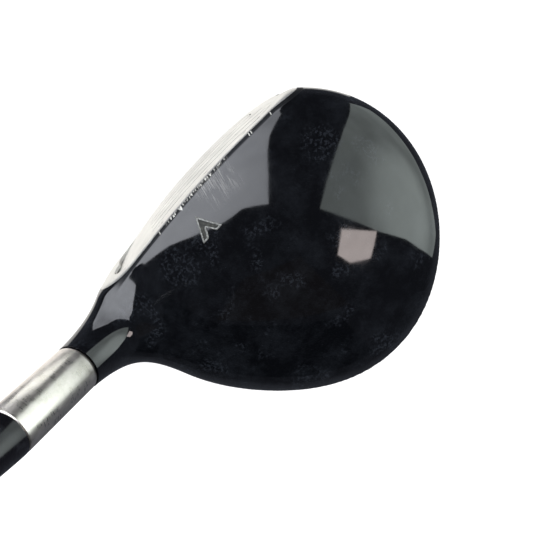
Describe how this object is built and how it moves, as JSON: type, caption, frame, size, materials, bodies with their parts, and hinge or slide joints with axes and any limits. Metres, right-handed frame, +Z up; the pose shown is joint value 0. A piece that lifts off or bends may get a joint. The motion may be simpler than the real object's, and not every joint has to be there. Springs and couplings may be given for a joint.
{
  "type": "fairway wood",
  "caption": "Right-handed fairway wood: hollow steel head with a glossy black crown, bare steel hosel, black ferrule, tapered graphite shaft and rubber grip.",
  "frame": {"origin": "centre of the flat contact pad of the sole, with the club at address", "axes": "+X towards the heel, the side the shaft leans to; -Y towards the target, out of the face; +Z up. Right-handed club."},
  "size_m": [0.6665, 0.08, 0.9385],
  "materials": {
    "satin_steel": "satin, fine machining lines and light scratches",
    "gloss_black_paint": "high gloss, chipped to bare metal along the topline",
    "brushed_steel": "brushed, worn on the contact pad",
    "weight_metal": "turned, satin",
    "printed_grey": "raised print with a pale edge",
    "amber_resin": "tacky set resin",
    "foam_plug": "cork-like foam",
    "graphite": "clear-coated carbon fibre",
    "black_plastic": "polished",
    "band_print": "printed stripes, no lettering",
    "tape_paper": "creped paper tape",
    "grip_rubber": "matte moulded rubber"
  },
  "bodies": {
    "root": {"head_body": "gloss_black_paint", "crown_plate": "gloss_black_paint", "face_plate": "satin_steel", "sole_plate": "brushed_steel", "sole_weight": "weight_metal", "alignment_mark": "printed_grey", "resin_pad": "amber_resin", "bore_plug": "foam_plug", "tip_weight": "weight_metal", "shaft_tube": "graphite", "ferrule": "black_plastic", "shaft_band": "band_print", "grip_tape": "tape_paper", "grip_sleeve": "grip_rubber", "grip_cap": "grip_rubber"}
  },
  "joints": []
}
